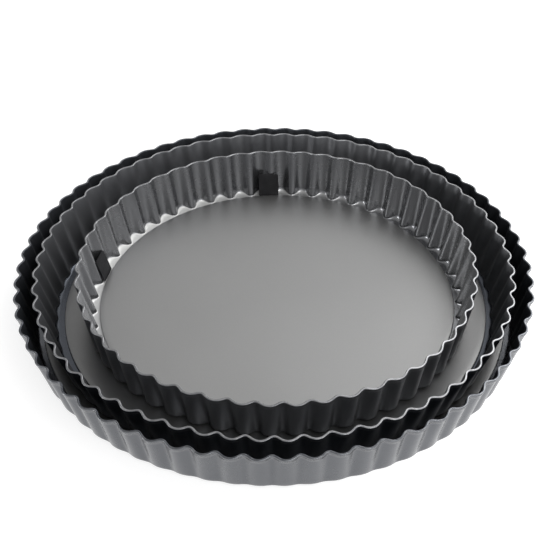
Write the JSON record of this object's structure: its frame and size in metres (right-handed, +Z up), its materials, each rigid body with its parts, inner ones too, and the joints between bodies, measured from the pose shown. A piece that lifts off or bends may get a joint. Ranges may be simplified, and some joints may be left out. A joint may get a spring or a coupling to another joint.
{
  "type": "nested set of loose-bottom fluted tart pans",
  "caption": "Nested round fluted tart pans in three sizes, each a slanted fluted ring with an inward bottom flange that carries a loose flat base.",
  "frame": {"origin": "centre of the large pan's underside, on the surface that the nest stands on", "axes": "+Z up, out of the pans' mouths; +X to the right and +Y to the back as seen from the front"},
  "size_m": [0.258, 0.2578, 0.0291],
  "materials": {
    "ring_coating": "satin dark grey non-stick coating on steel sheet",
    "base_coating": "smooth satin grey non-stick coating on steel sheet",
    "tab_black": "dull black"
  },
  "bodies": {
    "large_ring": {"large_ring": "ring_coating"},
    "large_base": {"large_base": "base_coating"},
    "medium_ring": {"medium_ring": "ring_coating"},
    "medium_base": {"medium_base": "base_coating"},
    "small_ring": {"small_ring": "ring_coating", "rear_tab": "tab_black", "left_tab": "tab_black"},
    "small_base": {"small_base": "base_coating"}
  },
  "joints": [
    {"name": "large_base_lift", "type": "slide", "parent": "large_ring", "child": "large_base", "axis": [0, 0, 1], "range_m": [0, 0.04]},
    {"name": "medium_ring_lift", "type": "slide", "parent": "large_base", "child": "medium_ring", "axis": [0, 0, 1], "range_m": [0, 0.04]},
    {"name": "medium_base_lift", "type": "slide", "parent": "medium_ring", "child": "medium_base", "axis": [0, 0, 1], "range_m": [0, 0.04]},
    {"name": "small_ring_lift", "type": "slide", "parent": "medium_base", "child": "small_ring", "axis": [0, 0, 1], "range_m": [0, 0.04]},
    {"name": "small_base_lift", "type": "slide", "parent": "small_ring", "child": "small_base", "axis": [0, 0, 1], "range_m": [0, 0.04]}
  ]
}
